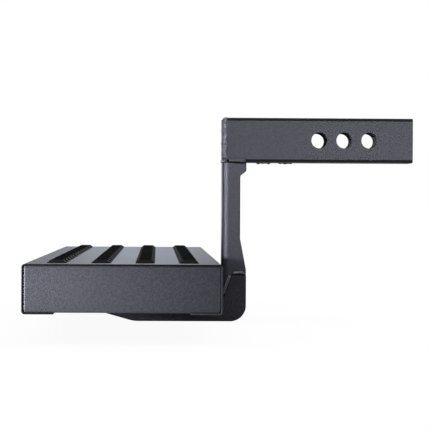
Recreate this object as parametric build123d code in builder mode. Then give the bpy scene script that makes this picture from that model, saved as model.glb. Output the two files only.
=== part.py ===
from build123d import *
import os

# Step for a towing receiver. Sizes are in millimetres.
# The origin is the centre of the middle pin hole, on the axis of the shank.
# +X runs along the shank to the vehicle, +Y along the tread to the vehicle's left, +Z up.

# Receiver shank: square tube with cross holes for the hitch pin
shank_width = 50.8
shank_wall = 4.8
shank_corner_radius = 4.0
shank_inner_radius = 1.0
shank_front_reach = 78.5  # middle pin hole to the open end
spine_reach = 139.0  # middle pin hole to the rear face of the end cap and the drop channel
pin_hole_diameter = 18.0
pin_hole_pitch = 28.6
pin_hole_count = 3

# End cap of the shank
cap_thickness = 5.0
cap_seat = 1.4  # how far the cap laps onto the wall of the tube
cap_corner_radius = 2.0

# Drop channel: bent plate with its web at the rear
channel_plate = 5.0
channel_inner_bend = 2.5
channel_depth = 27.4  # over the tab at the top and over the foot
waist_depth = 20.5
tab_height = 10.0
tab_slope_height = 5.5
waist_height = 71.5
flare_height = 35.5
waist_corner_radius = 3.0

# Tread: one folded sheet with lips turned in along its lower edges
deck_length = 914.4
deck_width = 188.0
deck_height = 47.0
deck_sheet = 1.5
deck_inner_bend = 1.5
deck_lip_width = 30.0
deck_drop = 131.0  # axis of the shank to the top of the tread
deck_gap = 12.4  # rear face of the drop channel to the tread

# Flanged caps in the ends of the tread
end_cap_sheet = 1.5
end_cap_inner_bend = 0.8
end_cap_flange = 14.0
end_cap_corner_radius = 3.0
end_cap_recess = 0.4

# Rubber strips on the tread, with notched flanks
strip_count = 4
strip_pitch = 42.0
strip_base_width = 19.5
strip_height = 3.0
strip_flank_angle = 50.0  # from upright
strip_end_inset = 40.0
notch_pitch = 55.0
notch_length = 28.0
notch_depth = 4.5

# Support arm: two side plates and a bent strip between them
arm_plate = 5.0
arm_strip = 5.0
arm_depth = 28.6  # below the lips of the tread
arm_leg_rise = 24.5  # above the lips of the tread
arm_leg_top_width = 16.4
arm_leg_foot_width = 25.0
arm_flat_length = 127.5
arm_nose_height = 4.7
arm_nose_inset = 14.4  # rear face of the tread to the nose of the arm
arm_corner_inner_bend = 13.0
arm_taper_inner_bend = 30.0
arm_edge_radius = 1.5
arm_strip_rise = 6.0  # straight part of the strip above its front bend

# Welds
weld_leg = 4.5
weld_lap = 2.3
weld_bulge = 0.8
weld_end_gap = 1.0
stitch_weld_width = 6.4  # across the shank
stitch_lump_length = 6.4
stitch_lump_height = 1.3
stitch_lump_pitch = 5.5
stitch_lump_count = 3
stitch_front_reach = 66.1  # middle pin hole to the middle of the front row
stitch_spacing = 25.1

# Planes and edges that the pieces share
shank_half = shank_width / 2
spine_x = -spine_reach
tube_rear_x = spine_x + cap_thickness
cap_half = shank_half - shank_wall + cap_seat
channel_front_x = spine_x + channel_depth
channel_outer_bend = channel_inner_bend + channel_plate
deck_front_x = spine_x - deck_gap
deck_rear_x = deck_front_x - deck_width
deck_middle_x = (deck_front_x + deck_rear_x) / 2
deck_outer_bend = deck_inner_bend + deck_sheet
deck_top_z = -deck_drop
lip_bottom_z = deck_top_z - deck_height
arm_front_x = channel_front_x
arm_top_z = lip_bottom_z + arm_leg_rise
arm_bottom_z = lip_bottom_z - arm_depth
arm_leg_top_x = arm_front_x - arm_leg_top_width
arm_leg_foot_x = arm_front_x - arm_leg_foot_width
arm_flat_end_x = arm_front_x - arm_flat_length
arm_nose_x = deck_rear_x + arm_nose_inset
arm_nose_z = lip_bottom_z - arm_nose_height
arm_corner_radius = arm_corner_inner_bend + arm_strip
arm_taper_radius = arm_taper_inner_bend + arm_strip
arm_outer_y = shank_half + arm_plate
channel_foot_z = arm_bottom_z + arm_corner_radius + arm_strip_rise


def finish(piece, name):
    """Label a finished piece and write it to its own file."""
    piece.label = name
    export_step(piece, f"parts/{name}.step")


def finish_pair(right_piece, name):
    """Write a piece on the right, and its mirror image on the left."""
    with BuildPart() as left_side:
        mirror(right_piece, about=Plane.XZ)
    finish(right_piece, f"{name}_right")
    finish(left_side.part, f"{name}_left")


def fillet_weld(corner, length):
    """A round-faced weld in a corner. Its faces lie along the plane's axes, its run along the normal."""
    with BuildPart() as bead:
        with BuildSketch(corner):
            with BuildLine():
                Polyline((weld_leg, 0), (0, 0), (0, weld_leg))
                SagittaArc((weld_leg, 0), (0, weld_leg), -weld_bulge)
            make_face()
        extrude(amount=length)
    return bead.part


os.makedirs("parts", exist_ok=True)

# Receiver shank
with BuildPart() as receiver_shank:
    with BuildSketch(Plane.YZ.offset(tube_rear_x)):
        RectangleRounded(shank_width, shank_width, shank_corner_radius)
        shank_opening = shank_width - 2 * shank_wall
        RectangleRounded(shank_opening, shank_opening, shank_inner_radius, mode=Mode.SUBTRACT)
    extrude(amount=shank_front_reach - tube_rear_x)
    with BuildSketch(Plane.XZ):
        with GridLocations(pin_hole_pitch, 0, pin_hole_count, 1):
            Circle(pin_hole_diameter / 2)
    extrude(amount=shank_width, both=True, mode=Mode.SUBTRACT)
finish(receiver_shank.part, "receiver_shank")

# End cap
with BuildPart() as shank_end_cap:
    with BuildSketch(Plane.YZ.offset(spine_x)):
        RectangleRounded(2 * cap_half, 2 * cap_half, cap_corner_radius)
    extrude(amount=cap_thickness)
finish(shank_end_cap.part, "shank_end_cap")

# Weld round the sides and top of the end cap, on the end face of the tube
with BuildPart() as cap_weld:
    with BuildLine(Plane.YZ.offset(tube_rear_x)) as cap_edge:
        FilletPolyline(
            (-cap_half, -cap_half),
            (-cap_half, cap_half),
            (cap_half, cap_half),
            (cap_half, -cap_half),
            radius=cap_corner_radius,
        )
    cap_edge_start = (tube_rear_x, -cap_half, -cap_half)
    with BuildSketch(Plane(origin=cap_edge_start, x_dir=(0, -1, 0), z_dir=(0, 0, 1))):
        with BuildLine():
            cap_weld_leg = shank_half - cap_half
            Polyline((cap_weld_leg, 0), (0, 0), (0, -cap_thickness))
            SagittaArc((cap_weld_leg, 0), (0, -cap_thickness), weld_bulge)
        make_face()
    sweep(path=cap_edge.wire())
finish(cap_weld.part, "cap_weld")

# Weld in the groove between the end cap and the top of the drop channel's web
with BuildPart() as seam_weld:
    with BuildSketch(Plane.XZ):
        with BuildLine():
            seam_top = (spine_x, -cap_half)
            seam_bottom = (spine_x, -shank_half)
            Polyline(seam_top, (tube_rear_x, -cap_half), (tube_rear_x, -shank_half), seam_bottom)
            SagittaArc(seam_bottom, seam_top, weld_bulge)
        make_face()
    extrude(amount=shank_half - shank_corner_radius, both=True)
finish(seam_weld.part, "seam_weld")

# Drop channel
with BuildPart() as drop_channel:
    with BuildSketch(Plane.XY.offset(channel_foot_z)):
        with BuildLine():
            FilletPolyline(
                (channel_front_x, shank_half),
                (spine_x, shank_half),
                (spine_x, -shank_half),
                (channel_front_x, -shank_half),
                radius=channel_outer_bend,
            )
            offset(amount=channel_plate, side=Side.LEFT)
        make_face()
    extrude(amount=-shank_half - channel_foot_z)
    with BuildSketch(Plane.XZ):
        waist_x = spine_x + waist_depth
        tab_bottom_z = -shank_half - tab_height
        waist_top_z = tab_bottom_z - tab_slope_height
        waist_bottom_z = waist_top_z - waist_height
        with BuildLine():
            FilletPolyline(
                (channel_front_x, tab_bottom_z),
                (waist_x, waist_top_z),
                (waist_x, waist_bottom_z),
                (channel_front_x, waist_bottom_z - flare_height),
                radius=waist_corner_radius,
            )
            Line((channel_front_x, waist_bottom_z - flare_height), (channel_front_x, tab_bottom_z))
        make_face()
    extrude(amount=shank_half, both=True, mode=Mode.SUBTRACT)
finish(drop_channel.part, "drop_channel")

# Welds between the lower corners of the tube and the tops of the channel's flanges
with BuildPart() as shank_weld:
    groove_start = (channel_front_x - weld_end_gap, -shank_half, -shank_half)
    with BuildSketch(Plane(origin=groove_start, x_dir=(0, -1, 0), z_dir=(-1, 0, 0))):
        with BuildLine():
            Polyline((-shank_corner_radius, 0), (0, 0), (0, -weld_lap))
            SagittaArc((0, -weld_lap), (0, shank_corner_radius), -weld_bulge)
            RadiusArc((0, shank_corner_radius), (-shank_corner_radius, 0), shank_corner_radius)
        make_face()
    extrude(amount=channel_depth - channel_outer_bend - weld_end_gap)
finish_pair(shank_weld.part, "shank_weld")

# Short welds of three lumps each on the underside of the shank
# The radius of a lump's arc follows from its chord and its height.
stitch_lump_radius = stitch_lump_length**2 / (8 * stitch_lump_height) + stitch_lump_height / 2
for stitch_index, stitch_name in enumerate(("stitch_weld_front", "stitch_weld_rear")):
    stitch_x = -stitch_front_reach - stitch_index * stitch_spacing
    with BuildPart() as stitch_weld:
        with BuildSketch(Plane.XZ):
            with Locations((stitch_x, stitch_lump_radius - stitch_lump_height - shank_half)):
                with GridLocations(stitch_lump_pitch, 0, stitch_lump_count, 1):
                    Circle(stitch_lump_radius)
        extrude(amount=stitch_weld_width / 2, both=True)
        split(bisect_by=Plane.XY.offset(-shank_half), keep=Keep.BOTTOM)
    finish(stitch_weld.part, stitch_name)

# Side plates of the arm
with BuildPart() as arm_side:
    with BuildSketch(Plane.XZ.offset(shank_half)):
        with BuildLine():
            FilletPolyline(
                (arm_leg_top_x, arm_top_z),
                (arm_front_x, arm_top_z),
                (arm_front_x, arm_bottom_z),
                (arm_flat_end_x, arm_bottom_z),
                (arm_nose_x, arm_nose_z),
                (arm_nose_x, lip_bottom_z),
                (arm_leg_foot_x, lip_bottom_z),
                radius=[
                    arm_edge_radius,
                    arm_edge_radius,
                    arm_corner_radius,
                    arm_taper_radius,
                    arm_edge_radius,
                    0,
                    arm_edge_radius,
                ],
                close=True,
            )
        make_face()
    extrude(amount=arm_plate)
finish_pair(arm_side.part, "arm_plate")

# Strip that closes the arm in front and below, up to the rear lip of the tread
with BuildPart() as arm_web:
    arm_strip_end_x = deck_rear_x + deck_lip_width
    arm_taper_slope = (arm_nose_z - arm_bottom_z) / (arm_flat_end_x - arm_nose_x)
    arm_strip_end_z = arm_bottom_z + (arm_flat_end_x - arm_strip_end_x) * arm_taper_slope
    with BuildSketch(Plane.XZ):
        with BuildLine():
            FilletPolyline(
                (arm_front_x, channel_foot_z),
                (arm_front_x, arm_bottom_z),
                (arm_flat_end_x, arm_bottom_z),
                (arm_strip_end_x, arm_strip_end_z),
                radius=[arm_corner_radius, arm_taper_radius],
            )
            offset(amount=arm_strip, side=Side.RIGHT)
        make_face()
    extrude(amount=shank_half, both=True)
finish(arm_web.part, "arm_web")

# Welds along the top of the arm plates and down their rear edges, on the flanges of the channel
arm_top_corner = Plane(
    origin=(arm_front_x - arm_edge_radius, -shank_half, arm_top_z),
    x_dir=(0, -1, 0),
    z_dir=(-1, 0, 0),
)
finish_pair(fillet_weld(arm_top_corner, arm_leg_top_width - 2 * arm_edge_radius), "arm_top_weld")

arm_leg_edge = Vector(arm_leg_foot_x - arm_leg_top_x, 0, -arm_leg_rise)
arm_leg_start = Vector(arm_leg_top_x, -shank_half, arm_top_z) + arm_leg_edge.normalized() * arm_edge_radius
arm_edge_corner = Plane(origin=arm_leg_start, x_dir=(0, -1, 0), z_dir=arm_leg_edge)
finish_pair(fillet_weld(arm_edge_corner, arm_leg_edge.length - 2 * arm_edge_radius), "arm_edge_weld")

# Tread
with BuildPart() as step_channel:
    with BuildSketch(Plane.XZ):
        with BuildLine():
            FilletPolyline(
                (deck_rear_x + deck_lip_width, lip_bottom_z),
                (deck_rear_x, lip_bottom_z),
                (deck_rear_x, deck_top_z),
                (deck_front_x, deck_top_z),
                (deck_front_x, lip_bottom_z),
                (deck_front_x - deck_lip_width, lip_bottom_z),
                radius=deck_outer_bend,
            )
            offset(amount=deck_sheet, side=Side.RIGHT)
        make_face()
    extrude(amount=deck_length / 2, both=True)
finish(step_channel.part, "step_channel")

# Welds between the arm plates and the undersides of the lips
lip_welds = {
    "deck_weld_front": (deck_front_x - deck_outer_bend, deck_front_x - deck_lip_width),
    "deck_weld_rear": (deck_rear_x + deck_lip_width, arm_nose_x),
}
for lip_weld_name, (lip_weld_front_x, lip_weld_rear_x) in lip_welds.items():
    lip_corner = Plane(
        origin=(lip_weld_front_x - weld_end_gap, -arm_outer_y, lip_bottom_z),
        x_dir=(0, 0, -1),
        z_dir=(-1, 0, 0),
    )
    lip_weld_length = lip_weld_front_x - lip_weld_rear_x - 2 * weld_end_gap
    finish_pair(fillet_weld(lip_corner, lip_weld_length), lip_weld_name)

# End caps of the tread: a face with a flange turned in all round
with BuildPart() as end_cap:
    end_cap_bottom_z = lip_bottom_z + deck_sheet
    end_cap_top_z = deck_top_z - deck_sheet
    with BuildSketch(Plane.XZ.offset(deck_length / 2 - end_cap_recess)):
        with Locations((deck_middle_x, (end_cap_bottom_z + end_cap_top_z) / 2)):
            RectangleRounded(
                deck_width - 2 * deck_sheet,
                end_cap_top_z - end_cap_bottom_z,
                end_cap_corner_radius,
            )
    extrude(amount=-end_cap_flange)
    fillet(end_cap.faces().sort_by(Axis.Y)[0].edges(), end_cap_inner_bend + end_cap_sheet)
    offset(amount=-end_cap_sheet, openings=end_cap.faces().sort_by(Axis.Y)[-1])
finish_pair(end_cap.part, "end_cap")

# Rubber strips
strip_length = deck_length - 2 * strip_end_inset
notch_count = int(strip_length // notch_pitch)
for strip_index in range(strip_count):
    strip_x = deck_middle_x + (strip_index - (strip_count - 1) / 2) * strip_pitch
    with BuildPart() as tread_strip:
        with BuildSketch(Plane.XY.offset(deck_top_z)):
            with Locations((strip_x, 0)):
                Rectangle(strip_base_width, strip_length)
        extrude(amount=strip_height, taper=strip_flank_angle)
        with BuildSketch(Plane.XY.offset(deck_top_z)):
            with Locations((strip_x, 0)):
                with GridLocations(strip_base_width - notch_depth, notch_pitch, 2, notch_count):
                    Rectangle(notch_depth, notch_length)
        extrude(amount=strip_height, mode=Mode.SUBTRACT)
    finish(tread_strip.part, f"tread_strip_{strip_index + 1}")
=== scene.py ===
import math

import bmesh
import bpy
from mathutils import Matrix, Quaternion, Vector, noise


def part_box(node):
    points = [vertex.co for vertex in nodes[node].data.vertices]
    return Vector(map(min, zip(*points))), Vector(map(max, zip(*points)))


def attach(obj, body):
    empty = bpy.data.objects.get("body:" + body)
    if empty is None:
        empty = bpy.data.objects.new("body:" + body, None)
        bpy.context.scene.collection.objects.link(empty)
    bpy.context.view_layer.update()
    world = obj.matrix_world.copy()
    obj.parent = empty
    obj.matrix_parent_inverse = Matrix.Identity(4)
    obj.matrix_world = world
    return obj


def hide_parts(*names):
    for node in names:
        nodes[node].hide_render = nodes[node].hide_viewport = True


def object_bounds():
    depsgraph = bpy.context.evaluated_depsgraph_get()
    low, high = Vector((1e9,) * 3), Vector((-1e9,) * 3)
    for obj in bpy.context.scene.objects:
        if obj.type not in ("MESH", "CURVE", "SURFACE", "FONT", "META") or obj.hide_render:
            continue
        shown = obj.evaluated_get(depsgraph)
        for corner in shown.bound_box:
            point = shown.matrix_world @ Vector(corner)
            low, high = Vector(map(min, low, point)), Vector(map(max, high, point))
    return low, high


# Looks of the hitch receiver step. Lengths are in metres.
# +X runs along the shank to the vehicle, +Y along the tread, +Z up. Right is -Y, nearest the camera.
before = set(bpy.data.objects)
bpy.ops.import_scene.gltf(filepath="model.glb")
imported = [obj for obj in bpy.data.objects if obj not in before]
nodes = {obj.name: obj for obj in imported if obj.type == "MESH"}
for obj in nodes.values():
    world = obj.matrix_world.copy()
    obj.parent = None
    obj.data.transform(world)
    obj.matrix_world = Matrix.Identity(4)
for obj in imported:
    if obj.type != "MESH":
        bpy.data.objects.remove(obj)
cad_low, cad_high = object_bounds()

FRONT = Vector((1, 0, 0))
LEFT = Vector((0, 1, 0))
UP = Vector((0, 0, 1))

# Camera, from the photograph
PHOTO_SIDE = 430
FOCAL_PIXELS = 2101
VANISHING_PIXEL = (156.5, 209.0)  # where the lines along the tread meet
CAMERA_PLACE = Vector((-0.2138, -2.418, -0.0789))
CAMERA_ROLL = math.radians(0.3)
SENSOR_MM = 36.0

# Coat and rubber
NOISE_RANGE = 0.3, 0.7  # holds nearly all values of a noise
GRAIN_SIZE = 0.0013
GRAIN_DETAIL = 3.0
GRAIN_HEIGHT = 0.00030
PEEL_SIZE = 0.005
PEEL_DETAIL = 2.0
PEEL_HEIGHT = 0.00015
WAVE_SIZE = 0.09
WAVE_DETAIL = 1.0
WAVE_DENSITY = (0.4, 2.2, 1.0)
COAT_ROUGHNESS_SPREAD = 0.04
GRIT_SIZE = 0.0012
GRIT_DETAIL = 3.0
GRIT_HEIGHT = 0.00012
RUBBER_ROUGHNESS_SPREAD = 0.05

# Darkest and lightest colour of each coat and of the rubber
COAT_COLOURS = (0.051, 0.051, 0.062), (0.074, 0.074, 0.091)
BEND_COLOURS = (0.036, 0.036, 0.045), (0.062, 0.062, 0.077)
SHEET_COLOURS = (0.050, 0.051, 0.062), (0.084, 0.085, 0.105)
BEAD_COLOURS = (0.034, 0.034, 0.042), (0.060, 0.060, 0.073)
# Beads on the arm: a painted highlight, much lighter than the coat
BEAD_HIGHLIGHT_COLOURS = (0.130, 0.130, 0.155), (0.180, 0.180, 0.215)
# Rims of the end caps: a painted highlight
RIM_HIGHLIGHT_COLOURS = (0.130, 0.131, 0.160), (0.160, 0.162, 0.198)
# Cut edges, corners of the shank, outer side of the upright's bends and end caps' bends: painted shade
EDGE_SHADE_COLOURS = (0.005, 0.005, 0.006), (0.009, 0.009, 0.011)
# Toes of the weld beads: painted shade
TOE_SHADE_COLOURS = (0.004, 0.004, 0.005), (0.008, 0.008, 0.010)
RUBBER_TOP_COLOURS = (0.003, 0.003, 0.0033), (0.006, 0.006, 0.0066)
# Rubber flanks a little lighter than the top: a painted sheen
RUBBER_FLANK_SHEEN_COLOURS = (0.006, 0.006, 0.0066), (0.011, 0.011, 0.012)
WHITE = (1.0, 1.0, 1.0)
COOL_GLOSS = (0.80, 0.84, 1.0)

# Softened edges
MERGE_DISTANCE = 1e-6
FLAT_ANGLE = math.radians(1.0)
SHARP_ANGLE = math.radians(35.0)
EDGE_SEGMENTS = 2
ROUND_PROFILE = 0.5
FLAT_FACE_WEIGHT = 100
STRIP_COUNT = 4
STRIP_EDGE_WIDTH = 0.0014
# The tread's cut edges, the shank's corners and the outer side of the upright's bends get painted shade
CUT_EDGE_NORMAL = 0.3  # least part along Y of the normal on the tread's cut edges
TUBE_CORNER_NORMAL = 0.15  # least part of a corner's normal along each of its two faces
BEND_EDGE_NORMAL = 0.78, 0.985  # part along X of the normal at the outer side of the upright's bends
# The end cap's light rim is a painted highlight, its dark bend painted shade
RIM_NORMAL = 0.2, 0.75, 0.985  # part along X of the normal at an end cap's light rim and dark bend
FLANK_NORMAL = 0.3, 0.9  # upward part of the normal of a strip's sloped flank
# The front part of the tread's cut edge is left without painted shade
LIT_EDGE_LENGTH = 0.0310  # of the cut edge at the front of the tread, which shows lighter
LIT_EDGE_DROP = 0.0022

# Weld beads
BEAD_STEP = 0.0005
BEAD_ARC_STEPS = 12
BEAD_END_LENGTH = 0.0025
BEAD_END_SCALE = 0.35
BEAD_SHARP_ANGLE = math.radians(55.0)
RIPPLE_PITCH = 0.0040
RIPPLE_BOW = 0.5
RIPPLE_HEIGHT = 0.0003
WANDER = 0.0006
WANDER_LENGTH = 0.005
SWELL_SHARE = 0.35
SWELL_SHIFT = Vector((7, 3, 5))  # takes the swell from another part of the noise than the wander
FILLET_SHARE = 0.82  # leg of a bead, of the leg of the solid weld
FILLET_BULGE = 0.0014
CAP_BEAD_LAP = 0.0014
CAP_BEAD_LEAN = 0.75
CAP_BEAD_WEAVE = 0.0009
CAP_BEAD_WEAVE_PITCH = 0.0125
CAP_BEAD_BULGE = 0.0016
CAP_CORNER_RADIUS = 0.002
SEAM_BEAD_BULGE = 0.0008
SHANK_BEAD_LAP = 0.0008
SHANK_BEAD_DROP = 0.0006
SHANK_BEAD_WIDENING = 0.0014
SHANK_BEAD_DEPTH = 0.004
SHANK_BEAD_THROAT = 0.0012
SHANK_BEAD_BULGE = 0.0016
STITCH_LOBES = 3
LOBE_NECK = 0.55  # size of a bead between two lobes, of its size at a lobe
ARM_LEG_TOP = (-0.1280, -0.1535)
ARM_LEG_FOOT = (-0.1366, -0.1780)
ARM_EDGE_INSET = 0.0015

# Stage: a pale floor and a round wall, wide enough for a camera on any side
STAGE_RADIUS = 9.0
WALL_HEIGHT = 5.0
STAGE_SEGMENTS = 96
STAGE_PAINT = (0.75, 0.75, 0.75)
STUDIO_PALE = 0.75
WORLD_FILL = 0.08
FLOOR_SHADOW = 0.06
SHADOW_REACH = 0.2

# Where the stage turns from pale to white, along each axis from the middle of the floor
SWEEP_FROM_LEFT = -2.6, -1.1
SWEEP_FROM_RIGHT = 3.1, 1.6
SWEEP_FROM_FRONT = -2.75, -1.25
SWEEP_FROM_TOP = 4.5, 3.0


def material_base(name):
    """A new node material: its tree, its shader and the position on the part as a texture vector."""
    material = bpy.data.materials.new(name)
    material.use_nodes = True
    tree = material.node_tree
    shader = tree.nodes["Principled BSDF"]
    place = tree.nodes.new("ShaderNodeTexCoord").outputs["Object"]
    return material, tree, shader, place


def noise_node(tree, place, size, detail, density=None):
    """Noise whose features are about the given size, and closer along an axis of higher density."""
    if density:
        mapping = tree.nodes.new("ShaderNodeMapping")
        mapping.inputs["Scale"].default_value = density
        tree.links.new(place, mapping.inputs["Vector"])
        place = mapping.outputs["Vector"]
    texture = tree.nodes.new("ShaderNodeTexNoise")
    texture.inputs["Scale"].default_value = 1 / size
    texture.inputs["Detail"].default_value = detail
    tree.links.new(place, texture.inputs["Vector"])
    return texture.outputs["Fac"]


def carried(tree, value, source=(0.0, 1.0), target=(0.0, 1.0), interpolation="LINEAR"):
    """A value carried from one range to another, and kept inside it."""
    carry = tree.nodes.new("ShaderNodeMapRange")
    carry.interpolation_type = interpolation
    for socket, limit in zip(("From Min", "From Max", "To Min", "To Max"), (*source, *target)):
        carry.inputs[socket].default_value = limit
    tree.links.new(value, carry.inputs["Value"])
    return carry.outputs["Result"]


def colour_between(tree, value, dark, light):
    """A colour between two, chosen by a 0 to 1 value."""
    mix = tree.nodes.new("ShaderNodeMix")
    mix.data_type = "RGBA"
    mix.inputs["A"].default_value = (*dark, 1)
    mix.inputs["B"].default_value = (*light, 1)
    tree.links.new(value, mix.inputs["Factor"])
    return mix.outputs["Result"]


def bump_node(tree, height, distance, normal=None):
    """Bump of the given height, on top of an earlier one."""
    bump = tree.nodes.new("ShaderNodeBump")
    bump.inputs["Strength"].default_value = 1.0
    bump.inputs["Distance"].default_value = distance
    tree.links.new(height, bump.inputs["Height"])
    if normal:
        tree.links.new(normal, bump.inputs["Normal"])
    return bump.outputs["Normal"]


def speckle(tree, shader, grain, colours, roughness, roughness_spread):
    """Let the colour and the roughness of a material follow its grain."""
    colour = colour_between(tree, carried(tree, grain, NOISE_RANGE), *colours)
    tree.links.new(colour, shader.inputs["Base Color"])
    limits = roughness - roughness_spread, roughness + roughness_spread
    tree.links.new(carried(tree, grain, NOISE_RANGE, limits), shader.inputs["Roughness"])


def powder_coat(
    name,
    colours,
    roughness,
    specular=0.5,
    grain_height=GRAIN_HEIGHT,
    wave_height=0.0,
    gloss_tint=WHITE,
):
    """Black powder coat: fine grain over a faint orange peel, and the slow waves of the sheet below."""
    material, tree, shader, place = material_base(name)
    grain = noise_node(tree, place, GRAIN_SIZE, GRAIN_DETAIL)
    peel = noise_node(tree, place, PEEL_SIZE, PEEL_DETAIL)
    speckle(tree, shader, grain, colours, roughness, COAT_ROUGHNESS_SPREAD)
    shader.inputs["Specular IOR Level"].default_value = specular
    shader.inputs["Specular Tint"].default_value = (*gloss_tint, 1)
    normal = bump_node(tree, grain, grain_height)
    normal = bump_node(tree, peel, PEEL_HEIGHT, normal)
    if wave_height:
        wave = noise_node(tree, place, WAVE_SIZE, WAVE_DETAIL, WAVE_DENSITY)
        normal = bump_node(tree, wave, wave_height, normal)
    tree.links.new(normal, shader.inputs["Normal"])
    return material


def rubber(name, colours, roughness, specular):
    """Black moulded rubber with a fine grit."""
    material, tree, shader, place = material_base(name)
    grit = noise_node(tree, place, GRIT_SIZE, GRIT_DETAIL)
    speckle(tree, shader, grit, colours, roughness, RUBBER_ROUGHNESS_SPREAD)
    shader.inputs["Specular IOR Level"].default_value = specular
    tree.links.new(bump_node(tree, grit, GRIT_HEIGHT), shader.inputs["Normal"])
    return material


coat = powder_coat("powder_coat", COAT_COLOURS, roughness=0.62, specular=0.15, grain_height=0.00018)
bend_coat = powder_coat("powder_coat_on_bend", BEND_COLOURS, roughness=0.44, gloss_tint=COOL_GLOSS)
bead_coat = powder_coat("powder_coat_on_bead", BEAD_COLOURS, roughness=0.40, gloss_tint=COOL_GLOSS)
# Painted highlight: a light coat that makes the arm's beads look lit
painted_bead_highlight = powder_coat("painted_highlight_on_bead", BEAD_HIGHLIGHT_COLOURS, roughness=0.35)
sheet_coat = powder_coat(
    "powder_coat_on_sheet",
    SHEET_COLOURS,
    roughness=0.45,
    specular=0.1,
    wave_height=0.0004,
    gloss_tint=COOL_GLOSS,
)
# Painted highlight on the rims of the end caps
painted_rim_highlight = powder_coat(
    "painted_highlight_on_rim",
    RIM_HIGHLIGHT_COLOURS,
    roughness=0.6,
    specular=0.2,
    grain_height=0.00003,
    gloss_tint=COOL_GLOSS,
)
# Painted shade: a near-black coat on edges and bends, where they fall dark
painted_edge_shade = powder_coat(
    "painted_shade_on_edges",
    EDGE_SHADE_COLOURS,
    roughness=0.6,
    specular=0.1,
    grain_height=0.00006,
)
# Painted shade along the toes of the weld beads
painted_toe_shade = powder_coat("painted_shade_at_bead_toe", TOE_SHADE_COLOURS, roughness=0.8, specular=0.1)
rubber_top = rubber("rubber_top", RUBBER_TOP_COLOURS, roughness=0.95, specular=0.0015)
# Glossier rubber on the flanks, with a painted sheen in its lighter colour
rubber_flank_with_painted_sheen = rubber("rubber_flank_with_painted_sheen", RUBBER_FLANK_SHEEN_COLOURS, roughness=0.7, specular=0.09)


def add_piece(name, bm, materials, replaced):
    """Turn a bmesh into a smooth piece that stands for CAD nodes."""
    mesh = bpy.data.meshes.new(name)
    bm.to_mesh(mesh)
    bm.free()
    mesh.shade_smooth()
    for material in materials:
        mesh.materials.append(material)
    piece = bpy.data.objects.new(name, mesh)
    bpy.context.scene.collection.objects.link(piece)
    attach(piece, "root")
    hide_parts(*replaced)
    return piece


def softened(node, width, edge_material=0):
    """A copy of a CAD node's mesh with its sharp edges rounded, as the coat leaves them."""
    bm = bmesh.new()
    bm.from_mesh(nodes[node].data)
    bmesh.ops.remove_doubles(bm, verts=bm.verts, dist=MERGE_DISTANCE)
    bmesh.ops.dissolve_limit(bm, angle_limit=FLAT_ANGLE, verts=bm.verts, edges=bm.edges)
    for face in bm.faces:
        face.material_index = 0
    sharp = [edge for edge in bm.edges if edge.is_manifold and edge.calc_face_angle() > SHARP_ANGLE]
    bmesh.ops.bevel(
        bm,
        geom=sharp,
        offset=width,
        offset_type="OFFSET",
        segments=EDGE_SEGMENTS,
        profile=ROUND_PROFILE,
        affect="EDGES",
        clamp_overlap=True,
        material=edge_material,
    )
    bm.normal_update()
    return bm


def keep_flats_flat(piece):
    """Large faces set the normals, so that only the rounded edges shade as round."""
    modifier = piece.modifiers.new("flat faces", "WEIGHTED_NORMAL")
    modifier.mode = "FACE_AREA"
    modifier.weight = FLAT_FACE_WEIGHT


def cut_across(bm, point, normal):
    """New edges where a plane crosses a mesh."""
    parts = [*bm.verts, *bm.edges, *bm.faces]
    bmesh.ops.bisect_plane(bm, geom=parts, dist=MERGE_DISTANCE, plane_co=point, plane_no=normal)


def coated_plate(node, width):
    """A plate, with painted shade on its edges."""
    return softened(node, width, edge_material=1), [coat, painted_edge_shade]


def coated_tube(node, width):
    """The shank, with painted shade on its edges and along its corners."""
    bm, materials = coated_plate(node, width)
    for face in bm.faces:
        if min(abs(face.normal.y), abs(face.normal.z)) > TUBE_CORNER_NORMAL:
            face.material_index = 1
    return bm, materials


def coated_upright(node, width):
    """The drop channel, with painted shade on its edges and along the outer side of its bends."""
    bm = softened(node, width, edge_material=1)
    least, most = BEND_EDGE_NORMAL
    for face in bm.faces:
        if least < abs(face.normal.x) < most:
            face.material_index = 1
    return bm, [bend_coat, painted_edge_shade]


def coated_tread(node, width):
    """The folded sheet, with painted shade on its cut edges apart from their front part, which keeps the
    sheet's coat.
    """
    bm = softened(node, width)
    _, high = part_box(node)
    lit_from = Vector((high.x - LIT_EDGE_LENGTH, 0, high.z - LIT_EDGE_DROP))
    cut_across(bm, lit_from, FRONT)
    cut_across(bm, lit_from, UP)
    for face in bm.faces:
        middle = face.calc_center_median()
        lit = middle.x > lit_from.x and middle.z < lit_from.z
        if abs(face.normal.y) > CUT_EDGE_NORMAL and not lit:
            face.material_index = 1
    return bm, [sheet_coat, painted_edge_shade]


def coated_end_cap(node, width):
    """An end cap of the tread, with a painted highlight on its rim and a line of painted shade between its
    bend and its flat.
    """
    bm = softened(node, width)
    rim_least, rim_most, bend_most = RIM_NORMAL
    for face in bm.faces:
        sideways = abs(face.normal.x)
        if rim_least < sideways < bend_most:
            face.material_index = 1 if sideways < rim_most else 2
    return bm, [sheet_coat, painted_rim_highlight, painted_edge_shade]


# Steel pieces: how each is made, and the width of its rounded edges
STEEL_PIECES = {
    "receiver_shank": (coated_tube, 0.0006),
    "shank_end_cap": (coated_plate, 0.0005),
    "drop_channel": (coated_upright, 0.0008),
    "arm_plate_left": (coated_plate, 0.0009),
    "arm_plate_right": (coated_plate, 0.0009),
    "arm_web": (coated_plate, 0.0007),
    "step_channel": (coated_tread, 0.0004),
    "end_cap_left": (coated_end_cap, 0.0003),
    "end_cap_right": (coated_end_cap, 0.0003),
}
for node, (coated, width) in STEEL_PIECES.items():
    bm, materials = coated(node, width)
    keep_flats_flat(add_piece(f"coated_{node}", bm, materials, [node]))


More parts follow.
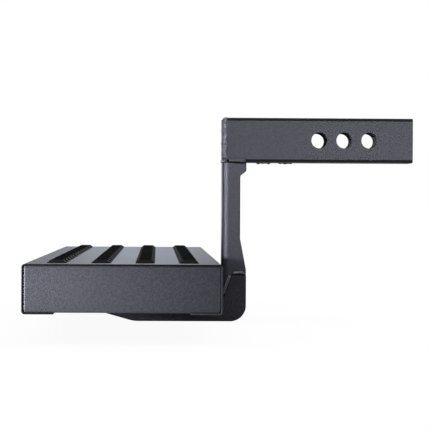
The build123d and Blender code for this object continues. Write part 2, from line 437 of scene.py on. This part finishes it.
def bead_section(station, travel, scale, bulge):
    """Points round a bead at one station: across its rippled outer side, then behind it."""
    toe_a, toe_b, outward, backs = station
    toes = []
    for toe, back in ((toe_a, backs[-1]), (toe_b, backs[0])):
        spread = toe - back
        drift = WANDER * noise.noise(toe / WANDER_LENGTH)
        toes.append(back + spread * scale + spread.normalized() * drift)
    swell = bulge * scale * (1 + SWELL_SHARE * noise.noise(toe_a / WANDER_LENGTH + SWELL_SHIFT))
    points = []
    for step in range(BEAD_ARC_STEPS + 1):
        across = step / BEAD_ARC_STEPS
        phase = travel / RIPPLE_PITCH + RIPPLE_BOW * (2 * across - 1) ** 2
        ripple = RIPPLE_HEIGHT * scale * abs(math.sin(math.pi * phase)) * math.sin(math.pi * across)
        rise = swell * math.sqrt(math.sin(math.pi * across)) + ripple
        points.append(toes[0].lerp(toes[1], across) + outward * rise)
    return points + backs


def bead(node, stations, bulge, lobes=0, dark_steps=(2, 2), body=bead_coat):
    """A rippled weld bead. Each station has two toes, the outward direction and the points behind the bead.
    The first and last steps across it are painted shade: the dark creases along its toes."""
    bm = bmesh.new()
    rings = []
    last = len(stations) - 1
    for index, station in enumerate(stations):
        end_share = min(1.0, min(index, last - index) * BEAD_STEP / BEAD_END_LENGTH)
        scale = BEAD_END_SCALE + (1 - BEAD_END_SCALE) * math.sqrt(1 - (1 - end_share) ** 2)
        if lobes:
            scale *= LOBE_NECK + (1 - LOBE_NECK) * abs(math.sin(math.pi * lobes * index / last))
        section = bead_section(station, index * BEAD_STEP, scale, bulge)
        rings.append([bm.verts.new(point) for point in section])
    for ring, following in zip(rings, rings[1:]):
        for index in range(len(ring)):
            face = bm.faces.new((ring[index - 1], ring[index], following[index], following[index - 1]))
            in_crease = index <= dark_steps[0] or index > BEAD_ARC_STEPS - dark_steps[1]
            face.material_index = 1 if in_crease else 0
    bm.faces.new(rings[0])
    bm.faces.new(rings[-1])
    bmesh.ops.recalc_face_normals(bm, faces=bm.faces)
    for edge in bm.edges:
        edge.smooth = edge.calc_face_angle() < BEAD_SHARP_ANGLE
    add_piece(f"bead_{node}", bm, [body, painted_toe_shade], [node])


def straight_run(start, end, leg_a, leg_b, outward=None):
    """Stations of a weld along a straight line. A fillet weld faces outward between its two legs."""
    count = round((end - start).length / BEAD_STEP)
    if outward is None:
        outward = (leg_a + leg_b).normalized()
    roots = [start.lerp(end, index / count) for index in range(count + 1)]
    return [(root + leg_a, root + leg_b, outward, [root]) for root in roots]


shank_low, shank_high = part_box("receiver_shank")
cap_low, cap_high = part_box("shank_end_cap")


def cap_outline():
    """Points round the sides and top of the shank's end cap, each with the direction away from the cap."""
    straight = cap_high.y - CAP_CORNER_RADIUS
    corner_steps = round(CAP_CORNER_RADIUS * math.pi / 2 / BEAD_STEP)
    outline = [(Vector((0, -cap_high.y, cap_low.z)), -LEFT)]
    for turn, side in enumerate((-1, 1)):
        corner = Vector((0, side * straight, straight))
        for step in range(corner_steps + 1):
            angle = math.pi / 2 * (2 - turn - step / corner_steps)
            away = Vector((0, math.cos(angle), math.sin(angle)))
            outline.append((corner + away * CAP_CORNER_RADIUS, away))
    outline.append((Vector((0, cap_high.y, cap_low.z)), LEFT))
    return outline


def cap_stations():
    """Stations of the bead round the shank's end cap, which laps onto the tube in a slow weave."""
    leg = shank_high.y - cap_high.y
    outline = cap_outline()
    stations = []
    for (here, away_here), (there, away_there) in zip(outline, outline[1:]):
        count = max(1, round((there - here).length / BEAD_STEP))
        for index in range(count):
            root = here.lerp(there, index / count)
            root.x = shank_low.x
            away = away_here.lerp(away_there, index / count).normalized()
            tube_edge = root + away * leg
            weave = math.sin(2 * math.pi * len(stations) * BEAD_STEP / CAP_BEAD_WEAVE_PITCH)
            toe_on_tube = tube_edge + FRONT * (CAP_BEAD_LAP + CAP_BEAD_WEAVE * weave)
            toe_on_cap = root + FRONT * (cap_low.x - shank_low.x)
            outward = (away - FRONT * CAP_BEAD_LEAN).normalized()
            stations.append((toe_on_tube, toe_on_cap, outward, [root, tube_edge]))
    return stations


def seam_stations(node):
    """Stations of the bead in the groove under the shank's end cap."""
    low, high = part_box(node)
    stations = []
    for index in range(round((high.y - low.y) / BEAD_STEP) + 1):
        y = low.y + index * BEAD_STEP
        toe_top = Vector((cap_low.x, y, high.z))
        toe_bottom = Vector((cap_low.x, y, low.z))
        backs = [Vector((high.x, y, low.z)), Vector((high.x, y, high.z))]
        stations.append((toe_top, toe_bottom, -FRONT, backs))
    return stations


def shank_stations(node, side):
    """Stations of the bead along a lower corner of the shank, wider towards the front."""
    low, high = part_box(node)
    face_y = side * shank_high.y
    count = round((high.x - low.x) / BEAD_STEP)
    stations = []
    for index in range(count + 1):
        x = low.x + index * BEAD_STEP
        drop = SHANK_BEAD_DROP + SHANK_BEAD_WIDENING * index / count
        toe_top = Vector((x, face_y, high.z + SHANK_BEAD_LAP))
        toe_bottom = Vector((x, face_y, shank_low.z - drop))
        backs = [
            Vector((x, face_y, shank_low.z)),
            Vector((x, face_y - side * SHANK_BEAD_DEPTH, shank_low.z)),
            Vector((x, face_y - side * SHANK_BEAD_THROAT, shank_low.z + SHANK_BEAD_THROAT)),
            Vector((x, face_y, high.z)),
        ]
        stations.append((toe_top, toe_bottom, LEFT * side, backs))
    return stations


bead("cap_weld", cap_stations(), CAP_BEAD_BULGE, dark_steps=(0, 2))
bead("seam_weld", seam_stations("seam_weld"), SEAM_BEAD_BULGE)

# Beads of three lobes under the shank
for node in ("stitch_weld_front", "stitch_weld_rear"):
    low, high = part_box(node)
    start = Vector((high.x, 0, high.z))
    end = Vector((low.x, 0, high.z))
    reach = LEFT * high.y
    bead(node, straight_run(start, end, reach, -reach, outward=-UP), high.z - low.z, STITCH_LOBES)

# Beads on both sides of the upright and of the arm
for side_name, side in (("right", -1), ("left", 1)):
    outer = LEFT * side
    flange_y = side * shank_high.y

    # Along the lower corner of the shank
    node = f"shank_weld_{side_name}"
    bead(node, shank_stations(node, side), SHANK_BEAD_BULGE, dark_steps=(1, 4))

    # On top of the arm plate, with a painted highlight
    node = f"arm_top_weld_{side_name}"
    low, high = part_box(node)
    leg = FILLET_SHARE * (high.z - low.z)
    start = Vector((low.x, flange_y, low.z))
    end = Vector((high.x, flange_y, low.z))
    bead(node, straight_run(start, end, outer * leg, UP * leg), FILLET_BULGE, body=painted_bead_highlight)

    # Down the sloped rear edge of the arm plate, with a painted highlight
    node = f"arm_edge_weld_{side_name}"
    top = Vector((ARM_LEG_TOP[0], flange_y, ARM_LEG_TOP[1]))
    foot = Vector((ARM_LEG_FOOT[0], flange_y, ARM_LEG_FOOT[1]))
    downward = (foot - top).normalized()
    rearward = Vector((downward.z, 0, -downward.x))
    start = top + downward * ARM_EDGE_INSET
    end = foot - downward * ARM_EDGE_INSET
    stations = straight_run(start, end, outer * leg, rearward * leg)
    bead(node, stations, FILLET_BULGE, dark_steps=(0, 3), body=painted_bead_highlight)

    # Between the arm plate and the lips of the tread
    for place in ("front", "rear"):
        node = f"deck_weld_{place}_{side_name}"
        low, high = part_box(node)
        plate_y = low.y if side > 0 else high.y
        start = Vector((low.x, plate_y, high.z))
        end = Vector((high.x, plate_y, high.z))
        bead(node, straight_run(start, end, outer * leg, -UP * leg), FILLET_BULGE)

# Rubber strips, with a matte top and glossier flanks that are painted a little lighter, a painted sheen
flank_least, flank_most = FLANK_NORMAL
for number in range(1, STRIP_COUNT + 1):
    node = f"tread_strip_{number}"
    bm = softened(node, STRIP_EDGE_WIDTH)
    for face in bm.faces:
        if flank_least < face.normal.z < flank_most:
            face.material_index = 1
    keep_flats_flat(add_piece(f"rubber_{node}", bm, [rubber_top, rubber_flank_with_painted_sheen], [node]))

# Camera
camera_data = bpy.data.cameras.new("camera")
camera_data.sensor_width = SENSOR_MM
camera_data.lens = FOCAL_PIXELS / PHOTO_SIDE * SENSOR_MM
camera = bpy.data.objects.new("camera", camera_data)
bpy.context.scene.collection.objects.link(camera)
look = Vector((
    (PHOTO_SIDE / 2 - VANISHING_PIXEL[0]) / FOCAL_PIXELS,
    1,
    (VANISHING_PIXEL[1] - PHOTO_SIDE / 2) / FOCAL_PIXELS,
))
camera.location = CAMERA_PLACE
camera.rotation_mode = "QUATERNION"
camera.rotation_quaternion = look.to_track_quat("-Z", "Y") @ Quaternion(UP, CAMERA_ROLL)
bpy.context.scene.camera = camera


def computed(tree, operation, first, second):
    """The result of a math node on two values."""
    math_node = tree.nodes.new("ShaderNodeMath")
    math_node.operation = operation
    tree.links.new(first, math_node.inputs[0])
    tree.links.new(second, math_node.inputs[1])
    return math_node.outputs["Value"]


def mixed(tree, share, first, second):
    """The first shader where the share is 0, and the second where it is 1."""
    mix = tree.nodes.new("ShaderNodeMixShader")
    tree.links.new(share, mix.inputs["Fac"])
    tree.links.new(first, mix.inputs[1])
    tree.links.new(second, mix.inputs[2])
    return mix.outputs["Shader"]


def white_to_the_eye(tree, seen, bounced):
    """Show one shader to camera, glossy and transmission rays, and another to the rest."""
    path = tree.nodes.new("ShaderNodeLightPath")
    direct = path.outputs["Is Camera Ray"]
    for name in ("Is Glossy Ray", "Is Transmission Ray"):
        direct = computed(tree, "MAXIMUM", direct, path.outputs[name])
    return mixed(tree, direct, bounced, seen)


def stage_material(name, shadow):
    """White to the eye behind and under the object, pale beside it, and darker where it is covered."""
    material, tree, shader, place = material_base(name)
    tree.nodes.remove(shader)
    axes = tree.nodes.new("ShaderNodeSeparateXYZ")
    tree.links.new(place, axes.inputs["Vector"])
    cover = tree.nodes.new("ShaderNodeAmbientOcclusion")
    cover.inputs["Distance"].default_value = SHADOW_REACH
    sweep = carried(tree, axes.outputs["X"], SWEEP_FROM_LEFT, interpolation="SMOOTHSTEP")
    for axis, limits in (("X", SWEEP_FROM_RIGHT), ("Y", SWEEP_FROM_FRONT), ("Z", SWEEP_FROM_TOP)):
        fade = carried(tree, axes.outputs[axis], limits, interpolation="SMOOTHSTEP")
        sweep = computed(tree, "MULTIPLY", sweep, fade)
    lightness = carried(tree, sweep, target=(STUDIO_PALE, 1.0))
    shade = carried(tree, cover.outputs["AO"], target=(1 - shadow, 1.0))
    glow = tree.nodes.new("ShaderNodeEmission")
    tree.links.new(computed(tree, "MULTIPLY", lightness, shade), glow.inputs["Strength"])
    paint = tree.nodes.new("ShaderNodeBsdfDiffuse")
    paint.inputs["Color"].default_value = (*STAGE_PAINT, 1)
    shown = white_to_the_eye(tree, glow.outputs["Emission"], paint.outputs["BSDF"])
    clear = tree.nodes.new("ShaderNodeBsdfTransparent")
    facing = tree.nodes.new("ShaderNodeNewGeometry")
    one_sided = mixed(tree, facing.outputs["Backfacing"], shown, clear.outputs["BSDF"])
    tree.links.new(one_sided, tree.nodes["Material Output"].inputs["Surface"])
    return material


def add_stage(name, bm, shadow):
    """Turn a bmesh into a part of the stage, centred under the object."""
    mesh = bpy.data.meshes.new(name)
    bm.to_mesh(mesh)
    bm.free()
    mesh.materials.append(stage_material(name, shadow))
    stage = bpy.data.objects.new(name, mesh)
    stage.location = (cad_low.x + cad_high.x) / 2, 0, cad_low.z
    bpy.context.scene.collection.objects.link(stage)


floor_bm = bmesh.new()
bmesh.ops.create_circle(floor_bm, cap_ends=True, segments=STAGE_SEGMENTS, radius=STAGE_RADIUS)
add_stage("floor", floor_bm, FLOOR_SHADOW)

wall_bm = bmesh.new()
bmesh.ops.create_circle(wall_bm, segments=STAGE_SEGMENTS, radius=STAGE_RADIUS)
raised = bmesh.ops.extrude_edge_only(wall_bm, edges=wall_bm.edges)
raised_verts = [item for item in raised["geom"] if isinstance(item, bmesh.types.BMVert)]
bmesh.ops.translate(wall_bm, verts=raised_verts, vec=UP * WALL_HEIGHT)
bmesh.ops.recalc_face_normals(wall_bm, faces=wall_bm.faces)
bmesh.ops.reverse_faces(wall_bm, faces=wall_bm.faces)
add_stage("backdrop", wall_bm, 0.0)


def softbox(name, place, aim, size, watts, beam=180.0, tint=WHITE):
    """A rectangular lamp that points at a place. A grid narrows its beam to an angle in degrees."""
    data = bpy.data.lights.new(name, "AREA")
    data.shape = "RECTANGLE"
    data.size, data.size_y = size
    data.energy = watts
    data.color = tint
    data.spread = math.radians(beam)
    lamp = bpy.data.objects.new(name, data)
    lamp.location = place
    lamp.rotation_mode = "QUATERNION"
    lamp.rotation_quaternion = (Vector(aim) - Vector(place)).to_track_quat("-Z", "Y")
    lamp.visible_camera = False
    bpy.context.scene.collection.objects.link(lamp)


# Lamps on the photograph's side
softbox(
    "tread_near",
    place=(-0.49, -0.585, -0.143),
    aim=(-0.285, -0.457, -0.155),
    size=(0.16, 0.02),
    watts=0.152,
    beam=50.0,
)
softbox(
    "upright_near",
    place=(-1.14, -1.30, 0.11),
    aim=(-0.05, -0.02, 0.01),
    size=(0.3, 0.3),
    watts=0.28,
    beam=18.0,
)
softbox(
    "upright_side",
    place=(-1.44, -0.975, 0.12),
    aim=(-0.05, -0.02, 0.03),
    size=(0.3, 0.3),
    watts=0.47,
    beam=24.0,
)
softbox(
    "shank_near",
    place=(0.25, -0.24, 0.0),
    aim=(0.03, 0.0, 0.0),
    size=(0.12, 0.12),
    watts=0.05,
    beam=60.0,
)
softbox(
    "bead_near",
    place=(-0.50, -0.05, 0.60),
    aim=(-0.13, -0.03, -0.16),
    size=(0.15, 0.15),
    watts=0.08,
    beam=30.0,
)

# Lamps above, beside and behind
softbox(
    "above",
    place=(-0.15, 0.0, 2.2),
    aim=(-0.15, 0.0, 0.0),
    size=(1.2, 1.2),
    watts=12.0,
)
softbox(
    "beside",
    place=(1.9, 0.3, 0.4),
    aim=(-0.2, 0.0, -0.15),
    size=(1.0, 0.8),
    watts=4.0,
)
softbox(
    "back",
    place=(-0.26, 2.5, 0.3),
    aim=(-0.2, 0.0, -0.1),
    size=(0.28, 0.8),
    watts=1.55,
    tint=(0.7, 0.8, 1.0),
)
softbox(
    "tread_far",
    place=(-0.575, 0.65, -0.165),
    aim=(-0.25, 0.457, -0.155),
    size=(0.2, 0.06),
    watts=1.6,
)
softbox(
    "upright_far",
    place=(0.9, 1.1, 1.0),
    aim=(-0.05, 0.02, -0.06),
    size=(0.3, 0.3),
    watts=1.1,
    beam=60.0,
)

# World: a faint fill for the object, and pale to the eye above the wall
world = bpy.data.worlds.new("world")
world.use_nodes = True
world_tree = world.node_tree
fill = world_tree.nodes["Background"]
fill.inputs["Color"].default_value = (WORLD_FILL, WORLD_FILL, WORLD_FILL, 1)
studio = world_tree.nodes.new("ShaderNodeBackground")
studio.inputs["Color"].default_value = (STUDIO_PALE, STUDIO_PALE, STUDIO_PALE, 1)
seen_world = white_to_the_eye(world_tree, studio.outputs["Background"], fill.outputs["Background"])
world_tree.links.new(seen_world, world_tree.nodes["World Output"].inputs["Surface"])
bpy.context.scene.world = world
bpy.context.scene.view_settings.view_transform = "Standard"
